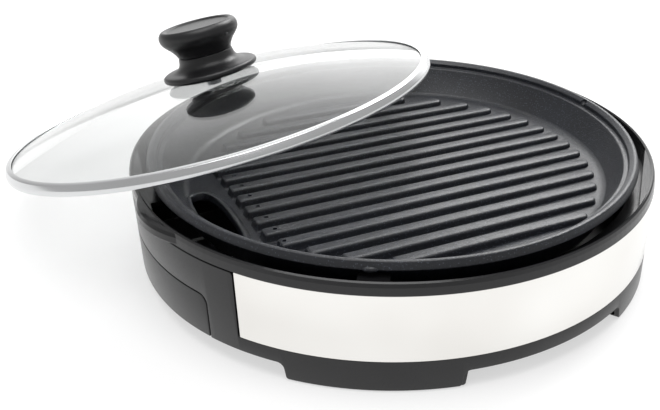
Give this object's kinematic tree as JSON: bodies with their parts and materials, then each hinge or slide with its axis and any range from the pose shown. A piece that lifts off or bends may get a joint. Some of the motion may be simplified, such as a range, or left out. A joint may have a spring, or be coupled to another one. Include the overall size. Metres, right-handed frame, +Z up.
{
  "type": "electric indoor grill with lid",
  "caption": "Round electric indoor grill: a ribbed non-stick plate on a low black and steel body with a pull-out drip tray, and a loose domed glass lid with a two-part knob.",
  "frame": {"origin": "centre of the flat underside of the base, on the body's axis", "axes": "+Z up, X along the ribs with the drip tray at -X and the controls at +X, -Y is the front"},
  "size_m": [0.4255, 0.4389, 0.1382],
  "materials": {
    "lid_glass": "clear tempered glass",
    "polished_steel": "bright, nearly mirror-polished",
    "knob_plastic": "satin black phenolic",
    "nonstick_plate": "cast, with a blue-black speckled non-stick coating",
    "body_plastic": "semi-gloss black",
    "base_plastic": "satin black",
    "rubber": "matt black",
    "reflector_metal": "pressed, dull",
    "heater_metal": "dark oxidised sheath",
    "zinc_steel": "zinc plated",
    "ceramic": "unglazed white",
    "brass": "knurled",
    "plated_pins": "nickel plated",
    "lamp_lens": "translucent red",
    "regulator_plastic": "moulded",
    "wire_sleeve": "woven glass-fibre sleeve"
  },
  "bodies": {
    "base": {"housing": "body_plastic", "front_band": "polished_steel", "rear_band": "polished_steel", "left_panel": "base_plastic", "right_panel": "base_plastic", "base_pan": "base_plastic", "foot_pads": "rubber", "reflector": "reflector_metal", "reflector_screws": "zinc_steel", "heating_element": "heater_metal", "element_terminals": "ceramic", "element_clips": "zinc_steel", "thermostat": "regulator_plastic", "indicator_lamp": "lamp_lens", "thermal_fuse": "ceramic", "fuse_clip": "zinc_steel", "power_inlet": "base_plastic", "inlet_pins": "plated_pins", "internal_wires": "wire_sleeve", "base_screws": "zinc_steel"},
    "plate": {"grill_plate": "nonstick_plate"},
    "lid": {"lid_glass": "lid_glass", "lid_rim": "polished_steel", "knob_base": "knob_plastic", "knob_grip": "knob_plastic", "lid_washers": "rubber", "knob_insert": "brass", "knob_screw": "zinc_steel"},
    "tray": {"drip_tray": "base_plastic"},
    "dial": {"control_dial": "base_plastic"}
  },
  "joints": [
    {"name": "plate_lift", "type": "slide", "parent": "base", "child": "plate", "axis": [0, 0, 1], "range_m": [0, 0.08]},
    {"name": "lid_lift", "type": "slide", "parent": "plate", "child": "lid", "axis": [0, 0, 1], "range_m": [0, 0.15]},
    {"name": "tray_slide", "type": "slide", "parent": "base", "child": "tray", "axis": [-1, 0, 0], "range_m": [0, 0.09]},
    {"name": "dial_turn", "type": "hinge", "parent": "base", "child": "dial", "pos_m": [0.1745, 0, 0.031], "axis": [1, 0, 0], "range_deg": [0, 270]}
  ]
}
